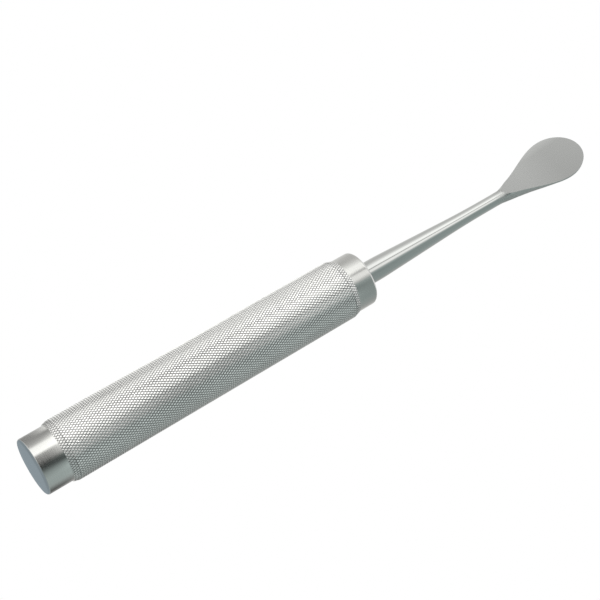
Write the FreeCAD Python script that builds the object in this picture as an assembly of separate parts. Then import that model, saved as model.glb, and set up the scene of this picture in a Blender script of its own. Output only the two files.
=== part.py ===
# Spinal elevator: a forged, spoon-shaped blade on a tapered shank, seated in a knurled round handle.
# The instrument stands on the handle's flat butt face. Its axis is +Z, from the butt to the blade's tip.
# The blade's ground face looks towards -Y. The origin is the centre of the butt face.
import FreeCAD, Part
import math
import os

Vector = FreeCAD.Vector
AXIS = Vector(0, 0, 1)
ORIGIN = Vector(0, 0, 0)

# Driving dimensions of the whole instrument, in millimetres.
overall_length = 280.0

# Handle: one turned bar with a knurled grip between two smooth, slightly smaller ends.
handle_length = 157.1
grip_diameter = 26.1
cap_diameter = 24.0
cap_length = 11.1
collar_diameter = 24.0
collar_length = 9.5
grip_chamfer_length = 2.2
grip_lip = 0.4
cap_edge_radius = 1.0
collar_edge_radius = 1.5

# Bore in the handle's front end, and the blade's tang that is brazed into it.
tang_diameter = 8.0
tang_length = 32.0
tang_chamfer = 0.8
braze_gap = 0.03
bore_end_gap = 1.5
drill_point_angle = 118.0
bore_mouth_chamfer = 0.5

# Shank: a short parallel root at the collar, then a long taper to a slender neck.
shank_root_diameter = 9.9
shank_root_length = 7.1
neck_diameter = 5.8
neck_to_tip = 53.7
root_ease = 2.2
neck_ease = 11.5
neck_land = 1.5

# Blade: plan outline, ground face and rounded back.
blade_width = 23.9
tip_length = 13.9
flare_length = 31.7
face_curve_radius = 271.0
face_hollow = 0.27
face_height_at_neck = 2.95
face_runout_radius = 15.0
face_runout_angle = 35.0
face_length = 44.3
back_thickness = 2.8
flank_thickness = 0.8
edge_thickness = 0.3

# Form of the forged back: squarer at the flare, lens-shaped from the widest place to the tip.
back_squareness = 4.4
boxed_share = 0.45
boxing_depth = 0.28
lens_share = 0.02

# Stock left above the ground face before it is ground away.
grinding_stock = 1.6
stock_share = 0.25
stock_squareness = 4.0
cutter_reach = 4.0
cutter_height = 18.0

# Fineness of the blank's sections.
flare_sections = 8
tip_sections = 7
last_tip_angle = 86.0
back_steps = 20
top_steps = 12
fine_steps = 600

# Places along the handle and the blade that follow from the sizes above.
handle_radius = grip_diameter / 2
cap_radius = cap_diameter / 2
collar_radius = collar_diameter / 2
grip_start = cap_length
grip_end = handle_length - collar_length
tang_radius = tang_diameter / 2
bore_radius = tang_radius + braze_gap
bore_depth = tang_length + bore_end_gap
root_radius = shank_root_diameter / 2
neck_radius = neck_diameter / 2
neck_x = overall_length - neck_to_tip
root_end_x = handle_length + shank_root_length
half_width = blade_width / 2
widest_x = overall_length - tip_length
flare_x = widest_x - flare_length
face_low_x = overall_length - face_length


def smooth_step(t):
    """An S-shaped rise from 0 to 1 that is level at both ends."""
    t = min(max(t, 0.0), 1.0)
    return t * t * (3 - 2 * t)


def mix(a, b, t):
    """The value a share t of the way from a to b."""
    return a + (b - a) * t


def place(along, across, out):
    """A point given by its distance along the axis from the butt, across the blade, and out of its face."""
    return Vector(-across, -out, along)


def line(x1, r1, x2, r2):
    """A straight edge of a turned profile, given as distances along the axis and radii."""
    return Part.LineSegment(place(x1, 0, r1), place(x2, 0, r2)).toShape()


def corner_arc(centre_x, centre_r, radius, start_deg, end_deg):
    """A round corner of a turned profile, with its angles measured from the axis outwards."""
    points = []
    for angle in (start_deg, (start_deg + end_deg) / 2, end_deg):
        a = math.radians(angle)
        points.append(place(centre_x + radius * math.cos(a), 0, centre_r + radius * math.sin(a)))
    return Part.Arc(*points).toShape()


def turned(edges):
    """A solid turned about the instrument's axis from a closed half profile."""
    wire = Part.Wire(Part.__sortEdges__(edges))
    solid = Part.Face(wire).revolve(ORIGIN, AXIS, 360)
    return solid if solid.Volume > 0 else solid.reversed()


def make_handle():
    """The handle: rounded butt, smooth cap, raised grip band, smooth collar and a blind front bore."""
    grip_step = min(grip_chamfer_length, (grip_end - grip_start) / 4)
    point_depth = bore_radius / math.tan(math.radians(drill_point_angle / 2))
    bore_end = handle_length - bore_depth
    mouth_radius = bore_radius + bore_mouth_chamfer
    edges = [
        line(0, 0, 0, cap_radius - cap_edge_radius),
        corner_arc(cap_edge_radius, cap_radius - cap_edge_radius, cap_edge_radius, 180, 90),
        line(cap_edge_radius, cap_radius, grip_start, cap_radius),
        line(grip_start, cap_radius, grip_start, cap_radius + grip_lip),
        line(grip_start, cap_radius + grip_lip, grip_start + grip_step, handle_radius),
        line(grip_start + grip_step, handle_radius, grip_end - grip_step, handle_radius),
        line(grip_end - grip_step, handle_radius, grip_end, collar_radius + grip_lip),
        line(grip_end, collar_radius + grip_lip, grip_end, collar_radius),
        line(grip_end, collar_radius, handle_length - collar_edge_radius, collar_radius),
        corner_arc(handle_length - collar_edge_radius, collar_radius - collar_edge_radius,
                   collar_edge_radius, 90, 0),
        line(handle_length, collar_radius - collar_edge_radius, handle_length, mouth_radius),
        line(handle_length, mouth_radius, handle_length - bore_mouth_chamfer, bore_radius),
        line(handle_length - bore_mouth_chamfer, bore_radius, bore_end, bore_radius),
        line(bore_end, bore_radius, bore_end - point_depth, 0),
        line(bore_end - point_depth, 0, 0, 0),
    ]
    return turned(edges)


def make_shank():
    """The tang in the handle's bore, the shoulder on its front face, and the tapered shank."""
    tang_end = handle_length - tang_length
    slope = math.atan2(root_radius - neck_radius, neck_x - neck_ease - root_end_x - root_ease)
    root_turn = root_ease / math.tan(slope / 2)
    neck_turn = neck_ease / math.tan(slope / 2)
    cone_start = root_end_x + root_turn * math.sin(slope)
    cone_start_radius = root_radius - root_turn * (1 - math.cos(slope))
    cone_end = neck_x - neck_turn * math.sin(slope)
    cone_end_radius = neck_radius + neck_turn * (1 - math.cos(slope))
    edges = [
        line(tang_end, 0, tang_end, tang_radius - tang_chamfer),
        line(tang_end, tang_radius - tang_chamfer, tang_end + tang_chamfer, tang_radius),
        line(tang_end + tang_chamfer, tang_radius, handle_length, tang_radius),
        line(handle_length, tang_radius, handle_length, root_radius),
        line(handle_length, root_radius, root_end_x, root_radius),
        corner_arc(root_end_x, root_radius - root_turn, root_turn, 90, 90 - math.degrees(slope)),
        line(cone_start, cone_start_radius, cone_end, cone_end_radius),
        corner_arc(neck_x, neck_radius + neck_turn, neck_turn, 270 - math.degrees(slope), 270),
        line(neck_x, neck_radius, neck_x, 0),
        line(neck_x, 0, tang_end, 0),
    ]
    return turned(edges)


def face_height(x, y):
    """Height of the ground face: a long shallow arc along the blade, slightly hollow across it."""
    along = (x - face_low_x) ** 2 / (2 * face_curve_radius)
    across = face_hollow * (y / half_width) ** 2
    return face_height_at_neck + along + across


def blade_half_width(x):
    """Half the blade's width: an S-curve out of the neck, then a half ellipse round the tip."""
    if x <= widest_x:
        return mix(neck_radius, half_width, smooth_step((x - flare_x) / flare_length))
    share = (x - widest_x) / tip_length
    return half_width * math.sqrt(max(1 - share * share, 0))


def back_depth(x):
    """Depth of the rounded back below the face on the blade's centre line."""
    if x <= widest_x:
        at_neck = face_height_at_neck + neck_radius
        return mix(at_neck, back_thickness, smooth_step((x - flare_x) / flare_length))
    share = (x - widest_x) / tip_length
    return mix(edge_thickness, back_thickness, math.sqrt(max(1 - share * share, 0)))


def rim_thickness(x):
    """Thickness of the blade's rim: full along the flanks, thinning round the tip."""
    return mix(flank_thickness, edge_thickness, smooth_step((x - widest_x) / tip_length))


def superellipse_point(x, half_span, base, rise, angle, exponent):
    """A point of a rounded-off arch: exponent 2 is an ellipse, a larger one has squarer shoulders."""
    across = math.cos(angle)
    up = abs(math.sin(angle)) ** (2 / exponent)
    y = half_span * math.copysign(abs(across) ** (2 / exponent), across)
    return place(x, y, base + rise * up)


def blank_section(x):
    """One closed section of the forged blank: a rounded back below, spare stock above the face."""
    flare = max((x - flare_x) / flare_length, 0.0)
    width = blade_half_width(x)
    opening = smooth_step(flare / stock_share)
    rim_height = face_height(x, width)
    land = mix(0.0, rim_height - rim_thickness(x), opening)
    bottom = mix(-neck_radius, face_height(x, 0) - back_depth(x), opening)
    crown = mix(neck_radius, rim_height + grinding_stock, opening)
    shoulders = mix(2.0, stock_squareness, opening)
    squareness = 2 + back_squareness * math.sin(math.pi * min(flare, 1.0))
    boxing = boxing_depth * math.sin(math.pi * min(flare / boxed_share, 1.0))
    bluntness = mix(0.5 - boxing, 1.0, smooth_step((flare - lens_share) / (1 - lens_share)))
    back = []
    for i in range(fine_steps + 1):
        across = math.cos(math.pi * i / fine_steps)
        depth = (land - bottom) * (1 - abs(across) ** squareness) ** bluntness
        back.append(place(x, width * across, land - depth))
    back = evenly_spaced(back, back_steps)
    top = []
    for i in range(top_steps + 1):
        angle = math.pi * (1 - i / top_steps)
        top.append(superellipse_point(x, width, land, crown - land, angle, shoulders))
    top[0] = back[-1]
    top[-1] = back[0]
    return Part.Wire([smooth_curve(back), smooth_curve(top)])


def evenly_spaced(points, steps):
    """Points at equal distances along a finely sampled curve, so that a curve through them keeps its corners."""
    travel = [0.0]
    for a, b in zip(points, points[1:]):
        travel.append(travel[-1] + a.distanceToPoint(b))
    even = [points[0]]
    place_now = 0
    for i in range(1, steps):
        wanted = travel[-1] * i / steps
        while travel[place_now + 1] < wanted:
            place_now += 1
        step = travel[place_now + 1] - travel[place_now]
        share = (wanted - travel[place_now]) / step
        even.append(points[place_now] + (points[place_now + 1] - points[place_now]) * share)
    even.append(points[-1])
    return even


def neck_section(x):
    """A round section of the neck, drawn from the same two places as the blank's other sections."""
    left = place(x, neck_radius, 0)
    right = place(x, -neck_radius, 0)
    back = Part.Arc(left, place(x, 0, -neck_radius), right).toShape()
    top = Part.Arc(right, place(x, 0, neck_radius), left).toShape()
    return Part.Wire([back, top])


def smooth_curve(points):
    """A smooth edge through the given points."""
    curve = Part.BSplineCurve()
    curve.interpolate(points)
    return curve.toShape()


def section_places():
    """Places of the blank's sections past the neck: even along the flare, closing in on the tip."""
    places = []
    for i in range(flare_sections):
        places.append(flare_x + flare_length * i / flare_sections)
    for i in range(tip_sections + 1):
        angle = math.radians(i * last_tip_angle / tip_sections)
        places.append(widest_x + tip_length * math.sin(angle))
    return places


def make_blank():
    """The forged blank of the blade, from the round neck to the tip, before its face is ground."""
    sections = [neck_section(neck_x), neck_section(neck_x + neck_land)]
    for x in section_places():
        sections.append(blank_section(x))
    return Part.makeLoft(sections, True, False, False, 5)


def face_profile(y):
    """Side view of the stock that grinding removes, at a distance y from the centre line."""
    low = face_height(face_low_x, y)
    end_x = overall_length + cutter_reach
    top = low + cutter_height
    half_way = (face_low_x + end_x) / 2
    runout = []
    for angle in (face_runout_angle, face_runout_angle / 2, 0.0):
        a = math.radians(angle)
        rise = face_runout_radius * (1 - math.cos(a))
        runout.append(place(face_low_x - face_runout_radius * math.sin(a), y, low + rise))
    start_x = runout[0].z
    end = place(end_x, y, face_height(end_x, y))
    edges = [
        Part.Arc(*runout).toShape(),
        Part.Arc(runout[2], place(half_way, y, face_height(half_way, y)), end).toShape(),
    ]
    corners = [end, place(end_x, y, top), place(start_x, y, top), runout[0]]
    for a, b in zip(corners, corners[1:]):
        edges.append(Part.LineSegment(a, b).toShape())
    return Part.Wire(edges)


def make_face_cut():
    """The stock above the blade's ground face: a long shallow arc with a short run-out at the neck."""
    reach = half_width + cutter_reach
    profiles = [face_profile(reach * i / 2) for i in (-2, -1, 0, 1, 2)]
    return Part.makeLoft(profiles, True, False, False, 3)


def make_blade():
    """The forged blade with its shank and tang, in one piece."""
    blade = make_blank().cut(make_face_cut())
    return make_shank().fuse(blade).removeSplitter()


parts = {
    "handle": make_handle,
    "blade": make_blade,
}

if __name__ == "__main__":
    os.makedirs("parts", exist_ok=True)
    for name, make in parts.items():
        shape = make()
        solids = shape.Solids
        print(name, "solids", len(solids), "valid", shape.isValid(), "volume", round(shape.Volume, 1))
        shape = solids[0] if len(solids) == 1 else shape
        shape.exportStep("parts/" + name + ".step")
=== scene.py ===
import bmesh
import bpy
import math
from functools import partial
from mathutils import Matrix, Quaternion, Vector


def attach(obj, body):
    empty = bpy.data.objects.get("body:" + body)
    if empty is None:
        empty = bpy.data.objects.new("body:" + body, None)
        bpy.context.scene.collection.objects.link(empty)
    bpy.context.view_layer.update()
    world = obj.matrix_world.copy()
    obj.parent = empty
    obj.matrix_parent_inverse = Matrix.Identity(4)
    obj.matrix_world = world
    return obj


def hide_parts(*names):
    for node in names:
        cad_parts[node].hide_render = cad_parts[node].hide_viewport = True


bl_info = {
    "name": "Spinal Elevator",
    "version": (1, 0, 0),
    "blender": (4, 5, 0),
    "location": "3D View > Sidebar > Spinal Elevator",
    "description": "Builds a spinal elevator that stands on its butt, with its finishes, lights and camera",
    "category": "Add Mesh",
}

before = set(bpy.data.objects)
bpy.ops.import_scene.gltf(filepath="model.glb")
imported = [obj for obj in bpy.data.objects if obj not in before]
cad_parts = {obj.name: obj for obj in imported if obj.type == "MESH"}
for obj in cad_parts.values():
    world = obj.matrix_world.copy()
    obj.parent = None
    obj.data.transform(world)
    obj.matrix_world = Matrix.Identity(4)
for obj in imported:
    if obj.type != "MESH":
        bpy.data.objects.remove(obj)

MM = 0.001

# Points round the handle and the blade, and fine samples along one back section.
HANDLE_STEPS = 160
BLADE_STEPS = 112
FINE_STEPS = 400

# Rings along the shank, the end of the neck, the flare and the tip.
SHANK_RINGS = 48
NECK_RINGS = 4
FLARE_RINGS = 56
TIP_RINGS = 40

# The handle's core lies this far below the knurl's grooves.
CORE_GAP = 0.02 * MM

# The blank of the blade: chamfer of the tang, the turn in degrees at which its last ring lies on the tip's
# rounding, the gap that this rounding leaves before the tip, the share of the flare in which the round neck
# opens, spare stock above the face, and how square the spare stock's crown is at the neck and beyond.
TANG_CHAMFER = 0.8 * MM
TIP_TURN = 88.6
TIP_GAP = 0.04 * MM
OPENING_SHARE = 0.25
SPARE_STOCK = 1.6 * MM
NECK_CROWN = 2.0
BLADE_CROWN = 4.0

# The stock that grinding takes off: its half width, its height over the tip, how far it goes past the tip,
# the run-out's turn in degrees, and how finely it is divided.
CUT_REACH = 16 * MM
CUT_HEIGHT = 14 * MM
CUT_PAST_TIP = 4 * MM
RUNOUT_TURN = 35
RUNOUT_STEPS = 16
FACE_STEPS = 70
ACROSS_STEPS = 14

# Over this stretch before and after the flare's start, the polish turns softer, and the steel darker by a
# painted shade, by these factors.
POLISH_BEFORE = 4 * MM
POLISH_AFTER = 1 * MM
BACK_ROUGHER = 4.4
BACK_PAINTED_SHADE = 0.83

# The ground face turns darker by this factor, a painted shade, between these two distances from the tip,
# and its left side is lighter by this factor, a painted highlight, at the first distance from the axis, and
# no longer at the second.
FACE_PAINTED_SHADE = 0.86
FACE_SHADE_START = 31 * MM
FACE_SHADE_END = 15 * MM
LEFT_PAINTED_HIGHLIGHT = 1.22
LEFT_EDGE = 11.9 * MM
LEFT_EDGE_END = 7.5 * MM

# Shares of a diamond's height with the groove's full painted shade, and with none of it as at the crest.
GROOVE_SHADE_SHARE = 0.1
UNSHADED_SHARE = 0.25


def length(name, description, default):
    """A size in metres that a user may change."""
    return bpy.props.FloatProperty(name=name, description=description, default=default, min=0.0,
                                   unit="LENGTH", precision=5)


def colour(name, description, default):
    """A linear colour that a user may change."""
    return bpy.props.FloatVectorProperty(name=name, description=description, default=default, size=3,
                                         min=0.0, max=1.0, subtype="COLOR")


def share(name, description, default):
    """A plain number from 0 to 1 that a user may change."""
    return bpy.props.FloatProperty(name=name, description=description, default=default, min=0.0,
                                   max=1.0, subtype="FACTOR")


class HandleSizes(bpy.types.PropertyGroup):
    """Sizes of the turned handle."""

    handle_length: length("Handle length", "From the butt face to the collar's front face", 0.1571)
    end_radius: length("End radius", "Radius of the smooth rear cap and front collar", 0.012)
    cap_length: length("Cap length", "Length of the smooth rear cap", 0.0111)
    collar_length: length("Collar length", "Length of the smooth front collar", 0.0095)
    butt_edge: length("Butt edge", "Rounding of the edge between butt face and cap", 0.001)
    collar_edge: length("Collar edge", "Rounding of the collar's front edge", 0.0015)
    grip_lip: length("Grip lip", "How far the knurled band's ends stand above the cap and collar", 0.0004)
    bore_radius: length("Bore radius", "Radius of the blind bore that holds the tang", 0.00403)
    bore_depth: length("Bore depth", "Depth of the bore's parallel part", 0.0335)
    bore_point: length("Bore point", "Depth of the drilled point at the bore's end", 0.00242)
    bore_mouth: length("Bore mouth", "Chamfer at the bore's mouth", 0.0005)


class KnurlSizes(bpy.types.PropertyGroup):
    """Sizes of the diamond knurl on the grip band."""

    crest_radius: length("Crest radius", "Radius over the diamonds' crests", 0.01304)
    diamond_depth: length("Diamond depth", "Height of each diamond above the grooves", 0.0001)
    end_chamfer: length("End chamfer", "Length over which the band rises at each end", 0.0022)
    around: bpy.props.IntProperty(name="Diamonds around", description="Diamonds in one row round the handle",
                                  default=68, min=8)
    diamond_length: length("Diamond length", "Length of one diamond along the handle", 0.00205)
    crest_share: share("Crest share", "Size of each diamond's flat crest against its base", 0.4)
    unevenness: share("Unevenness", "How much the diamonds' heights differ from each other", 0.06)
    seed: bpy.props.IntProperty(name="Seed", description="Seed of the diamonds' small differences", default=7)


class BladeSizes(bpy.types.PropertyGroup):
    """Sizes of the blade, its shank and its tang."""

    overall_length: length("Overall length", "From the butt face to the blade's tip", 0.28)
    tang_radius: length("Tang radius", "Radius of the tang in the handle's bore", 0.004)
    tang_length: length("Tang length", "Length of the tang behind the collar's front face", 0.032)
    root_radius: length("Root radius", "Radius of the shank at the collar", 0.00495)
    root_length: length("Root length", "Length of the shank's parallel root", 0.0071)
    root_ease: length("Root ease", "Length of the bend from the root into the taper", 0.0022)
    neck_radius: length("Neck radius", "Radius of the slender neck", 0.0029)
    neck_to_tip: length("Neck to tip", "Distance from the taper's end to the blade's tip", 0.0537)
    neck_ease: length("Neck ease", "Length of the bend from the taper into the neck", 0.0115)
    half_width: length("Half width", "Half the blade's greatest width", 0.01195)
    tip_length: length("Tip length", "From the widest place to the tip", 0.0139)
    flare_length: length("Flare length", "From the neck's end to the widest place", 0.0317)
    face_curve: length("Face curve", "Radius of the ground face along the blade", 0.271)
    face_hollow: length("Face hollow", "Rise of the face from its middle to its edges", 0.00027)
    face_low: length("Face height", "Height of the ground face above the axis at the neck", 0.00295)
    face_runout: length("Face run-out", "Radius at which the ground face runs out at the neck", 0.015)
    face_length: length("Face length", "Length of the ground face", 0.0443)
    back_thickness: length("Back thickness", "Depth of the back at the widest place", 0.0028)
    flank_thickness: length("Flank thickness", "Thickness of the rim along the flanks", 0.0008)
    edge_thickness: length("Edge thickness", "Thickness of the edge at the tip", 0.0003)
    squareness: bpy.props.FloatProperty(name="Squareness", description="How square the back is in the flare",
                                        default=4.4, min=0.0)
    boxed_share: share("Boxed share", "Share of the flare in which the back is boxy", 0.45)
    boxing_depth: share("Boxing depth", "How much steeper the boxy back's sides are", 0.28)
    lens_share: share("Lens share", "Share of the flare at which the back begins to turn into a lens", 0.02)


class FinishColours(bpy.types.PropertyGroup):
    """Colours and gloss of the steel finishes."""

    turned_steel: colour("Turned steel", "Smooth ends of the handle", (0.66, 0.66, 0.645))
    knurl_crest: colour("Knurl crest", "Crests of the diamonds", (0.97, 0.97, 0.95))
    # The knurl's groove colour is a painted shade, darkest at the grooves' bottoms.
    knurl_groove_shade: colour("Knurl groove", "Grooves between the diamonds", (0.11, 0.11, 0.11))
    polished_steel: colour("Polished steel", "Shank and the blade's back", (0.66, 0.67, 0.66))
    ground_steel: colour("Ground steel", "The blade's ground face", (0.378, 0.383, 0.38))
    turned_roughness: share("Turned roughness", "Roughness of the handle's smooth ends", 0.16)
    knurl_roughness: share("Knurl roughness", "Roughness of the knurl", 0.15)
    polished_roughness: share("Polished roughness", "Roughness of the shank and back", 0.1)
    ground_roughness: share("Ground roughness", "Roughness of the ground face", 0.27)
    knurl_gloss: share("Knurl gloss", "Share of the knurl's light that is mirrored and not scattered", 0.92)


class StageSettings(bpy.types.PropertyGroup):
    """Camera and surroundings."""

    lens: bpy.props.FloatProperty(name="Lens", description="Focal length in millimetres on a 36 mm sensor",
                                  default=81.76, min=1.0)
    azimuth: bpy.props.FloatProperty(name="Azimuth", description="Camera's direction round the instrument",
                                     default=math.radians(32.58), subtype="ANGLE")
    elevation: bpy.props.FloatProperty(name="Elevation", description="Camera's height above the horizon",
                                       default=math.radians(-21.64), subtype="ANGLE")
    roll: bpy.props.FloatProperty(name="Roll", description="Camera's turn about its own line of sight",
                                  default=math.radians(60.115), subtype="ANGLE")
    distance: length("Distance", "Camera's distance from its aim", 0.56067)
    aim: bpy.props.FloatVectorProperty(name="Aim", description="The point that the camera looks at",
                                       default=(-0.003389, -0.003168, 0.127935), size=3, unit="LENGTH",
                                       precision=6)
    overhead_light: bpy.props.FloatProperty(name="Overhead light",
                                            description="Power of the overhead lamp in watts",
                                            default=6.0, min=0.0)
    side_light: bpy.props.FloatProperty(name="Side light", description="Power of the side lamp in watts",
                                        default=32.0, min=0.0)
    surround_radius: length("Surround radius", "Radius of the reflected surround", 0.8)
    surround_height: length("Surround height", "Height of the reflected surround", 1.3)


def at(along, across, out):
    """A point given by its distance along the axis from the butt, across the blade, and out of its face."""
    return Vector((-across, -out, along))


def mix(a, b, t):
    """The value a share t of the way from a to b."""
    return a + (b - a) * t


def smooth_step(t):
    """An S-shaped rise from 0 to 1 that is level at both ends."""
    t = min(max(t, 0.0), 1.0)
    return t * t * (3 - 2 * t)


def add_object(name, data):
    """A new object at the origin that holds a mesh, a light or a camera."""
    obj = bpy.data.objects.new(name, data)
    bpy.context.scene.collection.objects.link(obj)
    return obj


def closed_mesh(name, points, faces):
    """A mesh of the points and faces, with all faces turned outwards."""
    mesh = bpy.data.meshes.new(name)
    mesh.from_pydata([tuple(p) for p in points], [], faces)
    shape = bmesh.new()
    shape.from_mesh(mesh)
    bmesh.ops.recalc_face_normals(shape, faces=shape.faces)
    shape.to_mesh(mesh)
    shape.free()
    return mesh


def ring_mesh(name, rings):
    """A closed mesh through rings of the same number of points. A ring of one point closes an end."""
    points = []
    starts = []
    for ring in rings:
        starts.append(len(points))
        points.extend(ring)
    faces = []
    for (a, ring_a), (b, ring_b) in zip(zip(starts, rings), zip(starts[1:], rings[1:])):
        count = max(len(ring_a), len(ring_b))
        for i in range(count):
            j = (i + 1) % count
            if len(ring_a) == 1:
                faces.append((a, b + j, b + i))
            elif len(ring_b) == 1:
                faces.append((a + i, a + j, b))
            else:
                faces.append((a + i, a + j, b + j, b + i))
    return closed_mesh(name, points, faces)


def turned_ring(along, radius, steps):
    """One ring of points round the axis, or the single point where the radius is nothing."""
    if radius <= 0:
        return [at(along, 0, 0)]
    ring = []
    for i in range(steps):
        angle = 2 * math.pi * i / steps
        ring.append(at(along, radius * math.cos(angle), -radius * math.sin(angle)))
    return ring


def arc_points(along, radius, size, start, end, steps):
    """Points of a rounded corner in a turned profile, with angles in degrees from the axis outwards."""
    points = []
    for i in range(steps + 1):
        angle = math.radians(mix(start, end, i / steps))
        points.append((along + size * math.cos(angle), radius + size * math.sin(angle)))
    return points


def smooth_by_angle(mesh, sharp_above):
    """Smooth shading that keeps edges sharper than the given angle in degrees."""
    mesh.shade_smooth()
    mesh.set_sharp_from_angle(angle=math.radians(sharp_above))


def fill(tree, socket, value):
    """Sets an input to a value, or links it to a socket. None leaves it as it is."""
    if isinstance(value, bpy.types.NodeSocket):
        tree.links.new(value, socket)
    elif value is not None:
        socket.default_value = value


def add_node(tree, kind, *values, named=(), **settings):
    """A new node with its settings. Values fill its inputs in order, and then by name."""
    node = tree.nodes.new(kind)
    for key, value in settings.items():
        setattr(node, key, value)
    for socket, value in zip(node.inputs, values):
        fill(tree, socket, value)
    for name, value in dict(named).items():
        fill(tree, node.inputs[name], value)
    return node


def math_node(tree, operation, *values):
    """The result of a Math node. Each value is a number or a socket."""
    return add_node(tree, "ShaderNodeMath", *values, operation=operation).outputs[0]


def axes_of(tree, position):
    """The X, Y and Z sockets of a position."""
    return add_node(tree, "ShaderNodeSeparateXYZ", position).outputs


def axis_distance(tree, axes):
    """Distance of a point from the instrument's axis."""
    square_x = math_node(tree, "MULTIPLY", axes["X"], axes["X"])
    square_y = math_node(tree, "MULTIPLY", axes["Y"], axes["Y"])
    return math_node(tree, "SQRT", math_node(tree, "ADD", square_x, square_y))


def stretched_noise(tree, position, scale, stretch, detail):
    """Noise on Object coordinates, stretched by the given scale along each axis."""
    mapping = add_node(tree, "ShaderNodeMapping", position, named={"Scale": stretch})
    noise = add_node(tree, "ShaderNodeTexNoise", mapping.outputs[0], named={"Scale": scale, "Detail": detail})
    return noise.outputs["Fac"]


def spread(tree, value, low, high, from_low=0.3, from_high=0.7):
    """Maps a value to the range from low to high. Its own range is that of noise, unless it is given."""
    return add_node(tree, "ShaderNodeMapRange", value, from_low, from_high, low, high).outputs[0]


def shade(tint, amount=1.0):
    """A colour at a share of its brightness, as a node takes it."""
    return (*(c * amount for c in tint), 1.0)


def mix_colours(tree, fac, first, second):
    """A blend of two colours, each a socket or four numbers."""
    node = add_node(tree, "ShaderNodeMix", fac, data_type="RGBA")
    fill(tree, node.inputs[6], first)
    fill(tree, node.inputs[7], second)
    return node.outputs[2]


def scale_colour(tree, tint, factor):
    """A colour socket multiplied by a factor socket."""
    node = add_node(tree, "ShaderNodeVectorMath", tint, operation="SCALE", named={"Scale": factor})
    return node.outputs[0]


def steel_material(name):
    """A steel material with its shader and Object coordinates ready."""
    material = bpy.data.materials.new(name)
    material.use_nodes = True
    tree = material.node_tree
    shader = tree.nodes["Principled BSDF"]
    shader.inputs["Metallic"].default_value = 1.0
    coordinates = add_node(tree, "ShaderNodeTexCoord")
    return material, tree, shader, coordinates.outputs["Object"]


def finish_steel(tree, shader, tint, roughness, height, strength, distance):
    """Gives the shader its colour and roughness, and bump from a height."""
    bump = add_node(tree, "ShaderNodeBump",
                    named={"Strength": strength, "Distance": distance, "Height": height})
    fill(tree, shader.inputs["Base Color"], tint)
    fill(tree, shader.inputs["Roughness"], roughness)
    fill(tree, shader.inputs["Normal"], bump.outputs[0])


def turned_steel(finish):
    """Turned and polished steel: fine rings round the cap and collar, and round the butt face's centre."""
    material, tree, shader, position = steel_material("turned steel")
    axes = axes_of(tree, position)
    travel = math_node(tree, "ADD", axis_distance(tree, axes), axes["Z"])
    rings = add_node(tree, "ShaderNodeTexNoise", noise_dimensions="1D",
                     named={"W": travel, "Scale": 2600.0, "Detail": 5.0, "Roughness": 0.65}).outputs["Fac"]
    tint = mix_colours(tree, spread(tree, rings, 0.0, 1.0), shade(finish.turned_steel, 0.93),
                       shade(finish.turned_steel))
    rough = finish.turned_roughness
    roughness = spread(tree, rings, rough * 1.2, rough * 0.8)
    finish_steel(tree, shader, tint, roughness, rings, strength=0.12, distance=0.03 * MM)
    return material


def knurled_steel(finish, sizes, knurl):
    """Knurled steel: crests in the steel's colour, a painted shade in the grooves, and a fine uneven grain.
    """
    material, tree, shader, position = steel_material("knurled steel")
    shader.inputs["Metallic"].default_value = finish.knurl_gloss
    axes = axes_of(tree, position)
    from_cap = math_node(tree, "SUBTRACT", axes["Z"], sizes.cap_length)
    from_collar = math_node(tree, "SUBTRACT", sizes.handle_length - sizes.collar_length, axes["Z"])
    from_end = math_node(tree, "MINIMUM", from_cap, from_collar)
    end_drop = knurl.crest_radius - sizes.end_radius - sizes.grip_lip
    drop = spread(tree, from_end, end_drop, 0.0, 0.0, knurl.end_chamfer)
    level = math_node(tree, "ADD", axis_distance(tree, axes), drop)
    # A painted shade fills the grooves and fades out up the diamonds' sides to the crests.
    full_shade_below = knurl.crest_radius - knurl.diamond_depth + GROOVE_SHADE_SHARE * knurl.diamond_depth
    no_shade_above = knurl.crest_radius - UNSHADED_SHARE * knurl.diamond_depth
    depth = spread(tree, level, 0.0, 1.0, full_shade_below, no_shade_above)
    grain = stretched_noise(tree, position, scale=1500.0, stretch=(1.0, 1.0, 1.0), detail=3.0)
    patches = stretched_noise(tree, position, scale=120.0, stretch=(1.0, 1.0, 0.6), detail=2.0)
    grained = math_node(tree, "MULTIPLY", depth, spread(tree, grain, 0.8, 1.0))
    patched = math_node(tree, "MULTIPLY", grained, spread(tree, patches, 0.9, 1.0))
    tint = mix_colours(tree, patched, shade(finish.knurl_groove_shade), shade(finish.knurl_crest))
    rough = finish.knurl_roughness
    roughness = spread(tree, grain, rough * 0.8, rough * 1.25)
    finish_steel(tree, shader, tint, roughness, grain, strength=0.25, distance=0.03 * MM)
    return material


def polished_steel(finish, sizes):
    """Polished steel with faint lines along the shank, softer, and darker by a painted shade, from the flare
    to the tip.
    """
    material, tree, shader, position = steel_material("polished steel")
    lines = stretched_noise(tree, position, scale=1400.0, stretch=(1.0, 1.0, 0.02), detail=4.0)
    polish = mix_colours(tree, spread(tree, lines, 0.0, 1.0), shade(finish.polished_steel, 0.95),
                         shade(finish.polished_steel))
    height = axes_of(tree, position)["Z"]
    flare_start = sizes.overall_length - sizes.tip_length - sizes.flare_length
    stretch = (flare_start - POLISH_BEFORE, flare_start + POLISH_AFTER)
    # Painted shade: the steel's colour darkens from the flare to the tip.
    tint = scale_colour(tree, polish, spread(tree, height, 1.0, BACK_PAINTED_SHADE, *stretch))
    rough = finish.polished_roughness
    roughness = math_node(tree, "MULTIPLY", spread(tree, lines, rough * 1.25, rough * 0.8),
                     spread(tree, height, 1.0, BACK_ROUGHER, *stretch))
    finish_steel(tree, shader, tint, roughness, lines, strength=0.08, distance=0.02 * MM)
    return material


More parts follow.
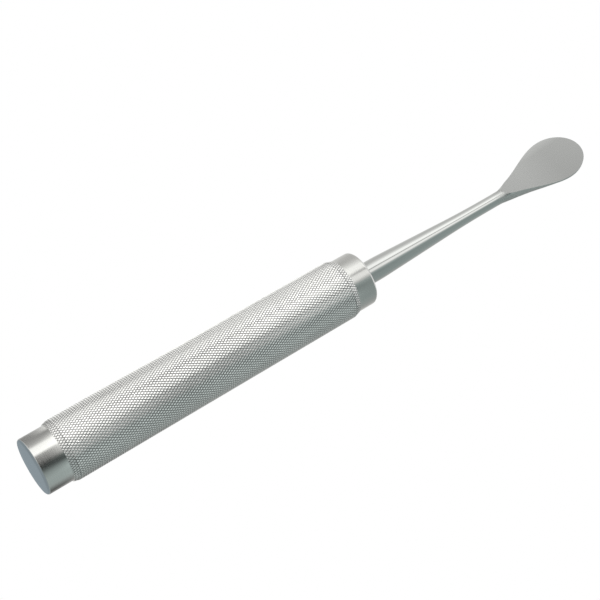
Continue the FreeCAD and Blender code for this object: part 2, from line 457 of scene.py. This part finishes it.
def ground_steel(finish, sizes):
    """Satin ground steel: fine lines along the blade, painted shade towards the tip, painted highlight at its
    left edge.
    """
    material, tree, shader, position = steel_material("ground steel")
    lines = stretched_noise(tree, position, scale=2200.0, stretch=(1.0, 1.0, 0.03), detail=3.0)
    patches = stretched_noise(tree, position, scale=90.0, stretch=(1.0, 1.0, 0.5), detail=2.0)
    grain = math_node(tree, "MULTIPLY_ADD", lines, 0.6, math_node(tree, "MULTIPLY", patches, 0.4))
    ground = mix_colours(tree, spread(tree, grain, 0.0, 1.0), shade(finish.ground_steel, 0.985),
                         shade(finish.ground_steel))
    axes = axes_of(tree, position)
    tip = sizes.overall_length
    # A painted shade towards the tip and a painted highlight along the face's left edge.
    tip_painted_shade = spread(tree, axes["Z"], 1.0, FACE_PAINTED_SHADE, tip - FACE_SHADE_START, tip - FACE_SHADE_END)
    left_painted_highlight = spread(tree, axes["X"], LEFT_PAINTED_HIGHLIGHT, 1.0, -LEFT_EDGE, -LEFT_EDGE_END)
    tint = scale_colour(tree, ground, math_node(tree, "MULTIPLY", tip_painted_shade, left_painted_highlight))
    rough = finish.ground_roughness
    roughness = spread(tree, lines, rough * 1.05, rough * 0.95)
    finish_steel(tree, shader, tint, roughness, lines, strength=0.05, distance=0.02 * MM)
    return material


def handle_profile(sizes, knurl):
    """Half profile of the handle from the butt's centre round to the bore's point."""
    sunk = knurl.diamond_depth + CORE_GAP
    core = knurl.crest_radius - sunk
    lip = sizes.end_radius + sizes.grip_lip - sunk
    edge = sizes.butt_edge
    front = sizes.collar_edge
    end = sizes.end_radius
    face = sizes.handle_length
    band_start = sizes.cap_length
    band_end = face - sizes.collar_length
    bore_end = face - sizes.bore_depth
    return [
        (0.0, 0.0),
        (0.0, 0.5 * end),
        *arc_points(edge, end - edge, edge, 180, 90, steps=10),
        (band_start, end),
        (band_start, lip),
        (band_start + knurl.end_chamfer, core),
        (band_end - knurl.end_chamfer, core),
        (band_end, lip),
        (band_end, end),
        *arc_points(face - front, end - front, front, 90, 0, steps=12),
        (face, sizes.bore_radius + sizes.bore_mouth),
        (face - sizes.bore_mouth, sizes.bore_radius),
        (bore_end, sizes.bore_radius),
        (bore_end - sizes.bore_point, 0.0),
    ]


class ELEVATOR_OT_handle(bpy.types.Operator):
    """Builds the turned handle: butt face, smooth cap, core under the knurl, smooth collar and front bore"""

    bl_idname = "elevator.add_handle"
    bl_label = "Add Handle"

    def execute(self, context):
        sizes = context.scene.elevator_handle
        knurl = context.scene.elevator_knurl
        rings = [turned_ring(x, r, HANDLE_STEPS) for x, r in handle_profile(sizes, knurl)]
        mesh = ring_mesh("handle_body", rings)
        mesh.materials.append(turned_steel(context.scene.elevator_finish))
        smooth_by_angle(mesh, sharp_above=28)
        handle = add_object("handle_body", mesh)
        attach(handle, "root")
        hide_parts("handle")
        return {"FINISHED"}


def knurl_tree(material, values):
    """Geometry Nodes that stand one row of diamonds after another round the grip, each row half a step on."""
    tree = bpy.data.node_groups.new("diamond knurl", "GeometryNodeTree")
    names = {}
    for name, value in values.items():
        kind = "NodeSocketInt" if isinstance(value, int) else "NodeSocketFloat"
        socket = tree.interface.new_socket(name=name, in_out="INPUT", socket_type=kind)
        socket.default_value = value
        names[name] = socket.identifier
    tree.interface.new_socket(name="Geometry", in_out="OUTPUT", socket_type="NodeSocketGeometry")
    made = partial(add_node, tree)
    calc = partial(math_node, tree)
    group = made("NodeGroupInput").outputs

    count = calc("MULTIPLY", group["Around"], group["Rows"])
    index = made("GeometryNodeInputIndex").outputs[0]
    row = calc("FLOOR", calc("DIVIDE", calc("ADD", index, 0.5), group["Around"]))
    column = calc("SUBTRACT", index, calc("MULTIPLY", row, group["Around"]))
    shifted = calc("MULTIPLY_ADD", calc("MODULO", row, 2.0), 0.5, column)
    angle = calc("DIVIDE", calc("MULTIPLY", shifted, 2 * math.pi), group["Around"])
    out_x = calc("COSINE", angle)
    out_y = calc("SINE", angle)
    height = calc("MULTIPLY_ADD", row, group["Row Step"], group["Band Start"])
    place = made("ShaderNodeCombineXYZ", calc("MULTIPLY", out_x, group["Root Radius"]),
                 calc("MULTIPLY", out_y, group["Root Radius"]), height)
    outward = made("ShaderNodeCombineXYZ", out_x, out_y, 0.0)
    points = made("GeometryNodePoints", count, place.outputs[0])

    depth = calc("SUBTRACT", group["Crest Radius"], group["Root Radius"])
    stud = made("GeometryNodeMeshCone", fill_type="NGON",
                named={"Vertices": 4, "Radius Top": group["Crest Share"], "Radius Bottom": 1.0,
                       "Depth": depth})
    open_stud = made("GeometryNodeDeleteGeometry", stud.outputs["Mesh"], stud.outputs["Bottom"],
                     domain="FACE", mode="ONLY_FACE")
    turn = made("FunctionNodeAxesToRotation", outward.outputs[0], (0.0, 0.0, 1.0),
                primary_axis="Z", secondary_axis="X")
    half_angle = calc("DIVIDE", math.pi, group["Around"])
    half_width = calc("MULTIPLY", calc("TANGENT", half_angle), group["Root Radius"])
    lowest = calc("SUBTRACT", 1.0, group["Unevenness"])
    uneven = made("FunctionNodeRandomValue", None, None, lowest, 1.0, data_type="FLOAT",
                  named={"Seed": group["Seed"]})
    scale = made("ShaderNodeCombineXYZ", group["Row Step"], half_width, uneven.outputs[1])
    studs = made("GeometryNodeInstanceOnPoints", points.outputs[0],
                 named={"Instance": open_stud.outputs[0], "Rotation": turn.outputs[0],
                        "Scale": scale.outputs[0]})
    whole = made("GeometryNodeRealizeInstances", studs.outputs[0])

    axes = axes_of(tree, made("GeometryNodeInputPosition").outputs[0])
    radius = axis_distance(tree, axes)
    held = calc("MINIMUM", calc("MAXIMUM", axes["Z"], group["Band Start"]), group["Band End"])
    from_end = calc("MINIMUM", calc("SUBTRACT", held, group["Band Start"]),
                    calc("SUBTRACT", group["Band End"], held))
    rise = calc("MINIMUM", calc("DIVIDE", from_end, group["End Chamfer"]), 1.0)
    drop = calc("MULTIPLY", calc("SUBTRACT", group["Crest Radius"], group["Lip Radius"]),
                calc("SUBTRACT", 1.0, rise))
    shrink = calc("DIVIDE", calc("SUBTRACT", radius, drop), radius)
    trimmed = made("ShaderNodeCombineXYZ", calc("MULTIPLY", axes["X"], shrink),
                   calc("MULTIPLY", axes["Y"], shrink), held)
    shaped = made("GeometryNodeSetPosition", whole.outputs[0], named={"Position": trimmed.outputs[0]})
    finished = made("GeometryNodeSetMaterial", shaped.outputs[0], named={"Material": material})
    made("NodeGroupOutput", finished.outputs[0])
    return tree, names


class ELEVATOR_OT_knurl(bpy.types.Operator):
    """Builds the diamond knurl of the grip band with Geometry Nodes"""

    bl_idname = "elevator.add_knurl"
    bl_label = "Add Knurl"

    def execute(self, context):
        sizes = context.scene.elevator_handle
        knurl = context.scene.elevator_knurl
        band_start = sizes.cap_length
        band_end = sizes.handle_length - sizes.collar_length
        rows = round((band_end - band_start) / (knurl.diamond_length / 2))
        values = {
            "Around": knurl.around,
            "Rows": rows + 1,
            "Row Step": (band_end - band_start) / rows,
            "Band Start": band_start,
            "Band End": band_end,
            "Root Radius": knurl.crest_radius - knurl.diamond_depth,
            "Crest Radius": knurl.crest_radius,
            "Lip Radius": sizes.end_radius + sizes.grip_lip,
            "End Chamfer": knurl.end_chamfer,
            "Crest Share": knurl.crest_share,
            "Unevenness": knurl.unevenness,
            "Seed": knurl.seed,
        }
        material = knurled_steel(context.scene.elevator_finish, sizes, knurl)
        tree, names = knurl_tree(material, values)
        source = add_object("grip_knurl_source", bpy.data.meshes.new("grip_knurl"))
        nodes = source.modifiers.new("knurl", "NODES")
        nodes.node_group = tree
        for name, value in values.items():
            nodes[names[name]] = value
        graph = context.evaluated_depsgraph_get()
        mesh = bpy.data.meshes.new_from_object(source.evaluated_get(graph))
        mesh.name = "grip_knurl"
        source.modifiers.remove(nodes)
        bpy.data.objects.remove(source)
        if len(mesh.polygons) < knurl.around * rows:
            raise RuntimeError("the knurl's tree made too few diamonds")
        mesh.shade_flat()
        grip = add_object("grip_knurl", mesh)
        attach(grip, "root")
        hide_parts("handle")
        return {"FINISHED"}


def face_height(sizes, x, y):
    """Height of the ground face above the axis, without its run-out."""
    low_x = sizes.overall_length - sizes.face_length
    along = (x - low_x) ** 2 / (2 * sizes.face_curve)
    across = sizes.face_hollow * (y / sizes.half_width) ** 2
    return sizes.face_low + along + across


def evenly_spaced(points, steps):
    """Points at equal distances along a finely sampled line."""
    travel = [0.0]
    for a, b in zip(points, points[1:]):
        travel.append(travel[-1] + (b - a).length)
    even = [points[0]]
    here = 0
    for i in range(1, steps):
        wanted = travel[-1] * i / steps
        while travel[here + 1] < wanted:
            here += 1
        part = (wanted - travel[here]) / (travel[here + 1] - travel[here])
        even.append(points[here].lerp(points[here + 1], part))
    even.append(points[-1])
    return even


def blade_section(sizes, x, steps):
    """One ring of the forged blank: a rounded back below, spare stock above the face."""
    widest = sizes.overall_length - sizes.tip_length
    flare_start = widest - sizes.flare_length
    flare = max((x - flare_start) / sizes.flare_length, 0.0)
    neck = sizes.neck_radius
    if x <= widest:
        width = mix(neck, sizes.half_width, smooth_step(flare))
        depth = mix(sizes.face_low + neck, sizes.back_thickness, smooth_step(flare))
    else:
        left = math.sqrt(max(1 - ((x - widest) / sizes.tip_length) ** 2, 0))
        width = sizes.half_width * left
        depth = mix(sizes.edge_thickness, sizes.back_thickness, left)
    opening = smooth_step(flare / OPENING_SHARE)
    rim = face_height(sizes, x, width)
    thinning = smooth_step((x - widest) / sizes.tip_length)
    land = mix(0.0, rim - mix(sizes.flank_thickness, sizes.edge_thickness, thinning), opening)
    bottom = mix(-neck, face_height(sizes, x, 0) - depth, opening)
    crown = mix(neck, rim + SPARE_STOCK, opening)
    shoulders = mix(NECK_CROWN, BLADE_CROWN, opening)
    squareness = 2 + sizes.squareness * math.sin(math.pi * min(flare, 1.0))
    boxing = sizes.boxing_depth * math.sin(math.pi * min(flare / sizes.boxed_share, 1.0))
    lens = smooth_step((flare - sizes.lens_share) / (1 - sizes.lens_share))
    bluntness = mix(0.5 - boxing, 1.0, lens)
    half = steps // 2
    back = []
    for i in range(FINE_STEPS + 1):
        across = math.cos(math.pi * i / FINE_STEPS)
        drop = (land - bottom) * (1 - abs(across) ** squareness) ** bluntness
        back.append(at(x, width * across, land - drop))
    ring = evenly_spaced(back, half)[:-1]
    for i in range(half):
        angle = math.pi * (1 - i / half)
        across = math.cos(angle)
        up = abs(math.sin(angle)) ** (2 / shoulders)
        y = width * math.copysign(abs(across) ** (2 / shoulders), across)
        ring.append(at(x, y, land + (crown - land) * up))
    return ring


def shank_radius(sizes, start, x):
    """Radius of the shank: a parallel root, an arc, a cone and an arc into the neck."""
    end = sizes.overall_length - sizes.neck_to_tip
    drop = sizes.root_radius - sizes.neck_radius
    slope = math.atan2(drop, end - sizes.neck_ease - start - sizes.root_ease)
    root_turn = sizes.root_ease / math.tan(slope / 2)
    neck_turn = sizes.neck_ease / math.tan(slope / 2)
    if x <= start:
        return sizes.root_radius
    if x >= end:
        return sizes.neck_radius
    if x < start + root_turn * math.sin(slope):
        return sizes.root_radius - root_turn + math.sqrt(root_turn ** 2 - (x - start) ** 2)
    if x > end - neck_turn * math.sin(slope):
        return sizes.neck_radius + neck_turn - math.sqrt(neck_turn ** 2 - (end - x) ** 2)
    return sizes.root_radius - (x - start - sizes.root_ease) * math.tan(slope)


def blank_rings(sizes, collar_face, steps):
    """Rings of the whole forging before its face is ground, from the tang's end to the tip."""
    tang_end = collar_face - sizes.tang_length
    profile = [
        (tang_end, 0.0),
        (tang_end, sizes.tang_radius - TANG_CHAMFER),
        (tang_end + TANG_CHAMFER, sizes.tang_radius),
        (collar_face, sizes.tang_radius),
        (collar_face, sizes.root_radius),
    ]
    root_end = collar_face + sizes.root_length
    neck_x = sizes.overall_length - sizes.neck_to_tip
    for i in range(SHANK_RINGS + 1):
        x = mix(root_end, neck_x, i / SHANK_RINGS)
        profile.append((x, shank_radius(sizes, root_end, x)))
    rings = [turned_ring(x, r, steps) for x, r in profile]

    widest = sizes.overall_length - sizes.tip_length
    flare_start = widest - sizes.flare_length
    places = [mix(neck_x, flare_start, (i + 1) / NECK_RINGS) for i in range(NECK_RINGS)]
    places += [flare_start + sizes.flare_length * (i + 1) / FLARE_RINGS for i in range(FLARE_RINGS)]
    for i in range(TIP_RINGS):
        angle = math.radians(TIP_TURN * (i + 1) / TIP_RINGS)
        places.append(widest + (sizes.tip_length - TIP_GAP) * math.sin(angle))
    rings += [blade_section(sizes, x, steps) for x in places]
    last = rings[-1]
    rings.append([sum(last, Vector()) / len(last)])
    return rings


def face_cutter(sizes):
    """The stock that grinding removes: a closed block whose lower side is the ground face."""
    low_x = sizes.overall_length - sizes.face_length
    turn = sizes.face_runout
    stations = []
    for i in range(RUNOUT_STEPS + 1):
        angle = math.radians(RUNOUT_TURN * (1 - i / RUNOUT_STEPS))
        stations.append((low_x - turn * math.sin(angle), turn * (1 - math.cos(angle))))
    for i in range(FACE_STEPS):
        stations.append((low_x + (sizes.face_length + CUT_PAST_TIP) * (i + 1) / FACE_STEPS, 0.0))
    across = [CUT_REACH * (i / ACROSS_STEPS - 1) for i in range(2 * ACROSS_STEPS + 1)]
    top = face_height(sizes, sizes.overall_length, 0) + CUT_HEIGHT
    points = [at(x, y, face_height(sizes, max(x, low_x), y) + rise) for x, rise in stations for y in across]
    layer = len(points)
    points += [at(x, y, top) for x, rise in stations for y in across]

    n = len(across)
    m = len(stations)
    faces = []
    for i in range(m - 1):
        for j in range(n - 1):
            a = i * n + j
            faces.append((a, a + 1, a + n + 1, a + n))
            faces.append((a + layer, a + layer + n, a + layer + n + 1, a + layer + 1))
    for i in range(m - 1):
        for j in (0, n - 1):
            a = i * n + j
            faces.append((a, a + n, a + n + layer, a + layer))
    for j in range(n - 1):
        for i in (0, m - 1):
            a = i * n + j
            faces.append((a, a + 1, a + 1 + layer, a + layer))
    return closed_mesh("face_cutter", points, faces)


class ELEVATOR_OT_blade(bpy.types.Operator):
    """Builds the forging: tang, tapered shank and spoon-shaped blade, and grinds its face"""

    bl_idname = "elevator.add_blade"
    bl_label = "Add Blade"

    def execute(self, context):
        sizes = context.scene.elevator_blade
        finish = context.scene.elevator_finish
        collar_face = context.scene.elevator_handle.handle_length
        blank = ring_mesh("blade_blank", blank_rings(sizes, collar_face, BLADE_STEPS))
        blank.materials.append(polished_steel(finish, sizes))
        cutter_mesh = face_cutter(sizes)
        cutter_mesh.materials.append(ground_steel(finish, sizes))
        source = add_object("blade_source", blank)
        cutter = add_object("face_cutter", cutter_mesh)
        grinding = source.modifiers.new("grinding", "BOOLEAN")
        grinding.operation = "DIFFERENCE"
        grinding.solver = "EXACT"
        grinding.material_mode = "TRANSFER"
        grinding.object = cutter
        graph = context.evaluated_depsgraph_get()
        mesh = bpy.data.meshes.new_from_object(source.evaluated_get(graph))
        mesh.name = "blade"
        source.modifiers.remove(grinding)
        bpy.data.objects.remove(source)
        bpy.data.objects.remove(cutter)
        smooth_by_angle(mesh, sharp_above=24)
        blade = add_object("blade_and_shank", mesh)
        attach(blade, "root")
        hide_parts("blade")
        return {"FINISHED"}


# Brightness by direction in degrees of the reflected surround, low, half-way and high, and of the floor.
LOW_SURROUND = (
    (-180, 0.25), (-160, 0.45), (-140, 0.65), (-110, 0.36), (-86, 0.34), (-66, 0.43), (-51, 0.52),
    (-42, 0.62), (-35, 0.90), (-30, 1.50), (-3, 1.75), (5, 0.42), (14, 0.30), (28, 0.19),
    (38, 0.07), (50, 0.05), (60, 0.15), (76, 0.40), (99, 0.55), (118, 0.54), (135, 0.50),
    (150, 0.30), (166, 0.12), (180, 0.25),
)
MIDDLE_SURROUND = (
    (-180, 0.55), (-160, 0.85), (-140, 0.90), (-96, 1.80), (-84, 1.50), (-70, 0.36), (-52, 0.80), (-34, 1.85),
    (-8, 2.10), (14, 1.55), (30, 1.30), (44, 0.35), (58, 0.08), (74, 0.55), (90, 0.85), (108, 0.60),
    (125, 0.70), (150, 0.50), (180, 0.55),
)
HIGH_SURROUND = (
    (-180, 0.55), (-160, 0.85), (-140, 0.90), (-90, 0.66), (-61, 0.68), (-45, 0.82), (-36, 1.00), (-30, 1.10),
    (-22, 1.38), (-2, 1.36), (6, 0.55), (10, 0.55), (14, 1.15), (30, 1.20), (38, 0.80), (48, 0.47),
    (62, 0.36), (121, 0.40), (150, 0.45), (180, 0.55),
)
FLOOR_GLOSS = (
    (-180, 0.60), (-150, 0.85), (-110, 0.80), (-62, 0.60), (-40, 1.00), (-25, 1.40), (5, 1.30), (30, 0.60),
    (50, 0.30), (90, 0.45), (120, 0.55), (180, 0.60),
)
RAMP_TOP = 2.4

# Heights between which the low surround turns into the middle one, and that into the high one, and between
# which the whole surround grows from its first gain to its second.
LOW_TO_MIDDLE = (0.125, 0.17)
MIDDLE_TO_HIGH = (0.42, 0.5)
GAINS = (0.94, 1.05)
GAIN_HEIGHTS = (0.47, 0.74)

# From the first angle on, the surround's red is at this share, and from the second it comes back to full.
COOL_ANGLES = (40, 125)
COOL_RED = 0.87
WARM_BLUE = 0.98

# A painted shadow on the floor round the butt, which the butt mirrors, and the radii between which that
# turns into the floor's gloss.
BUTT_PAINTED_SHADOW = (0.32, 0.38, 0.42)
BUTT_PAINTED_SHADOW_EDGE = (0.0135, 0.018)

# Brightness of the floor under light and of its own, and of the world's soft light.
FLOOR_SHADE = (0.3, 0.3, 0.3, 1.0)
FLOOR_GLOW = 0.75
SOFT_LIGHT = (0.97, 0.98, 1.0, 1.0)
SOFT_STRENGTH = 0.7

FLOOR_REACH = 6.0
FLOOR_LEVEL = -0.05 * MM
SURROUND_STEPS = 96
SENSOR_WIDTH = 36.0

# Place and width of each lamp with the setting that holds its power, and the point that they look at.
LAMPS = {
    "overhead_lamp": ((-0.25, -0.35, 1.2), 0.8, "overhead_light"),
    "side_lamp": ((-0.17, -0.98, 0.4), 0.5, "side_light"),
}
LAMP_AIM = Vector((0.0, 0.0, 0.12))


def azimuth_ramp(tree, fac, stops):
    """Brightness by direction, as a share of the top brightness, and slightly cooler on the right."""
    ramp = add_node(tree, "ShaderNodeValToRGB", fac)
    elements = ramp.color_ramp.elements
    while len(elements) < len(stops):
        elements.new(0.5)
    cool_from, cool_until = COOL_ANGLES
    for element, (angle, value) in zip(elements, stops):
        element.position = (angle + 180) / 360
        level = value / RAMP_TOP
        back_to_full = max(angle - cool_until, 0) / (180 - cool_until)
        red = 1.0 if angle <= cool_from else mix(COOL_RED, 1.0, back_to_full)
        element.color = (level * red, level, level * WARM_BLUE, 1.0)
    return ramp.outputs[0]


def azimuth_share(tree, axes):
    """Direction of the shaded point round the instrument, from 0 to 1, with 0.5 in front of the face."""
    back = math_node(tree, "MULTIPLY", axes["Y"], -1.0)
    angle = math_node(tree, "ARCTAN2", axes["X"], back)
    return math_node(tree, "MULTIPLY_ADD", angle, 1 / (2 * math.pi), 0.5)


def light_material(name):
    """A material without a shader yet, with the sockets of its Object coordinates ready."""
    material = bpy.data.materials.new(name)
    material.use_nodes = True
    tree = material.node_tree
    tree.nodes.clear()
    coordinates = add_node(tree, "ShaderNodeTexCoord")
    return material, tree, axes_of(tree, coordinates.outputs["Object"])


def emission(tree, tint, strength):
    """Light of a colour and a strength."""
    return add_node(tree, "ShaderNodeEmission", tint, strength).outputs[0]


def mix_shaders(tree, fac, first, second):
    """The first shader where the factor is 0, and the second where it is 1."""
    return add_node(tree, "ShaderNodeMixShader", fac, first, second).outputs[0]


def mirrored_ray(tree, path):
    """1 for a ray that was mirrored or let through, and 0 for any other."""
    return math_node(tree, "MAXIMUM", path["Is Glossy Ray"], path["Is Transmission Ray"])


def surround_material():
    """Light of the surround: bright and dark bands round the instrument, as soft boxes and flags give."""
    material, tree, axes = light_material("surround light")
    turn = azimuth_share(tree, axes)
    height = axes["Z"]
    low = azimuth_ramp(tree, turn, LOW_SURROUND)
    middle = azimuth_ramp(tree, turn, MIDDLE_SURROUND)
    high = azimuth_ramp(tree, turn, HIGH_SURROUND)
    lower = mix_colours(tree, spread(tree, height, 0.0, 1.0, *LOW_TO_MIDDLE), low, middle)
    bands = mix_colours(tree, spread(tree, height, 0.0, 1.0, *MIDDLE_TO_HIGH), lower, high)
    gain = spread(tree, height, *GAINS, *GAIN_HEIGHTS)
    glow = emission(tree, bands, math_node(tree, "MULTIPLY", gain, RAMP_TOP))
    add_node(tree, "ShaderNodeOutputMaterial", glow)
    return material


def floor_material():
    """A white floor that keeps a soft shadow, and lets a camera below it look through."""
    material, tree, axes = light_material("pale floor")
    path = add_node(tree, "ShaderNodeLightPath").outputs
    diffuse = add_node(tree, "ShaderNodeBsdfDiffuse", FLOOR_SHADE).outputs[0]
    lit = add_node(tree, "ShaderNodeAddShader", diffuse, emission(tree, None, FLOOR_GLOW)).outputs[0]
    plain = mix_shaders(tree, path["Is Camera Ray"], diffuse, lit)
    # Near the butt, reflections see a painted shadow on the floor, which fades into the floor's gloss further
    # out.
    away = spread(tree, axis_distance(tree, axes), 0.0, 1.0, *BUTT_PAINTED_SHADOW_EDGE)
    around = azimuth_ramp(tree, azimuth_share(tree, axes), FLOOR_GLOSS)
    gloss = mix_colours(tree, away, shade(BUTT_PAINTED_SHADOW, 1 / RAMP_TOP), around)
    upper = mix_shaders(tree, mirrored_ray(tree, path), plain, emission(tree, gloss, RAMP_TOP))
    clear = add_node(tree, "ShaderNodeBsdfTransparent").outputs[0]
    side = add_node(tree, "ShaderNodeNewGeometry").outputs["Backfacing"]
    add_node(tree, "ShaderNodeOutputMaterial", mix_shaders(tree, side, upper, clear))
    return material


def set_world():
    """A white world for the camera and for reflections, and a soft pale light for all else."""
    world = bpy.data.worlds.new("studio")
    world.use_nodes = True
    bpy.context.scene.world = world
    tree = world.node_tree
    tree.nodes.clear()
    path = add_node(tree, "ShaderNodeLightPath").outputs
    seen = math_node(tree, "MAXIMUM", path["Is Camera Ray"], mirrored_ray(tree, path))
    soft = add_node(tree, "ShaderNodeBackground", SOFT_LIGHT, SOFT_STRENGTH).outputs[0]
    white = add_node(tree, "ShaderNodeBackground", (1.0, 1.0, 1.0, 1.0), 1.0).outputs[0]
    add_node(tree, "ShaderNodeOutputWorld", mix_shaders(tree, seen, soft, white))


def add_floor():
    """A wide floor just under the butt face."""
    mesh = bpy.data.meshes.new("floor")
    signs = ((-1, -1), (1, -1), (1, 1), (-1, 1))
    corners = [(x * FLOOR_REACH, y * FLOOR_REACH, FLOOR_LEVEL) for x, y in signs]
    mesh.from_pydata(corners, [], [(0, 1, 2, 3)])
    mesh.materials.append(floor_material())
    floor = add_object("floor", mesh)


def add_surround(settings):
    """An open ring round the instrument that shows only in reflections."""
    rim = settings.surround_radius
    points = []
    faces = []
    for i in range(SURROUND_STEPS):
        angle = 2 * math.pi * i / SURROUND_STEPS
        for z in (0.0, settings.surround_height):
            points.append((rim * math.cos(angle), rim * math.sin(angle), z))
        j = (i + 1) % SURROUND_STEPS
        faces.append((2 * i, 2 * j, 2 * j + 1, 2 * i + 1))
    mesh = bpy.data.meshes.new("surround")
    mesh.from_pydata(points, [], faces)
    mesh.materials.append(surround_material())
    surround = add_object("surround", mesh)
    surround.visible_camera = False
    surround.visible_diffuse = False
    surround.visible_shadow = False
    surround.visible_transmission = False
    surround.visible_volume_scatter = False


def add_lamp(name, place, width, watts):
    """A round lamp that looks at the instrument and doesn't show in reflections."""
    light = bpy.data.lights.new(name, "AREA")
    light.shape = "DISK"
    light.size = width
    light.energy = watts
    lamp = add_object(name, light)
    lamp.location = place
    lamp.rotation_mode = "QUATERNION"
    lamp.rotation_quaternion = (lamp.location - LAMP_AIM).to_track_quat("Z", "Y")
    lamp.visible_glossy = False


def add_camera(settings):
    """The photograph's camera, given by its direction, distance and roll round the point that it looks at."""
    camera = bpy.data.cameras.new("camera")
    camera.sensor_width = SENSOR_WIDTH
    camera.lens = settings.lens
    camera.clip_start = 0.01
    camera.clip_end = 50.0
    eye = add_object("camera", camera)
    a = settings.azimuth
    e = settings.elevation
    back = Vector((math.sin(a) * math.cos(e), -math.cos(a) * math.cos(e), math.sin(e)))
    eye.location = Vector(settings.aim) + back * settings.distance
    eye.rotation_mode = "QUATERNION"
    roll = Quaternion((0.0, 0.0, 1.0), settings.roll)
    eye.rotation_quaternion = (-back).to_track_quat("-Z", "Y") @ roll
    bpy.context.scene.camera = eye


class ELEVATOR_OT_stage(bpy.types.Operator):
    """Sets the floor, the reflected surround, the lamps, the world and the camera"""

    bl_idname = "elevator.set_stage"
    bl_label = "Set Stage"

    def execute(self, context):
        settings = context.scene.elevator_stage
        set_world()
        add_floor()
        add_surround(settings)
        for name, (place, width, power) in LAMPS.items():
            add_lamp(name, place, width, getattr(settings, power))
        add_camera(settings)
        context.scene.view_settings.view_transform = "Standard"
        return {"FINISHED"}


class ELEVATOR_PT_panel(bpy.types.Panel):
    """Lists the sizes, finishes and pieces of the spinal elevator"""

    bl_idname = "ELEVATOR_PT_panel"
    bl_label = "Spinal Elevator"
    bl_space_type = "VIEW_3D"
    bl_region_type = "UI"
    bl_category = "Spinal Elevator"

    def draw(self, context):
        layout = self.layout
        for operator in OPERATORS:
            layout.operator(operator.bl_idname)
        for name in GROUPS:
            group = getattr(context.scene, name)
            box = layout.box()
            box.label(text=GROUPS[name].__doc__)
            for key in GROUPS[name].__annotations__:
                box.prop(group, key)


GROUPS = {
    "elevator_handle": HandleSizes,
    "elevator_knurl": KnurlSizes,
    "elevator_blade": BladeSizes,
    "elevator_finish": FinishColours,
    "elevator_stage": StageSettings,
}
OPERATORS = (ELEVATOR_OT_handle, ELEVATOR_OT_knurl, ELEVATOR_OT_blade, ELEVATOR_OT_stage)


def register():
    """Registers the settings, the operators and the panel."""
    for name, group in GROUPS.items():
        bpy.utils.register_class(group)
        setattr(bpy.types.Scene, name, bpy.props.PointerProperty(type=group))
    for cls in (*OPERATORS, ELEVATOR_PT_panel):
        bpy.utils.register_class(cls)


def unregister():
    """Takes the settings, the operators and the panel away again."""
    for cls in (ELEVATOR_PT_panel, *reversed(OPERATORS)):
        bpy.utils.unregister_class(cls)
    for name, group in GROUPS.items():
        delattr(bpy.types.Scene, name)
        bpy.utils.unregister_class(group)


def main():
    """Builds the instrument and its stage."""
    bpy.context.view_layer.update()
    register()
    bpy.ops.elevator.add_handle()
    bpy.ops.elevator.add_knurl()
    bpy.ops.elevator.add_blade()
    bpy.ops.elevator.set_stage()


if __name__ == "__main__":
    main()
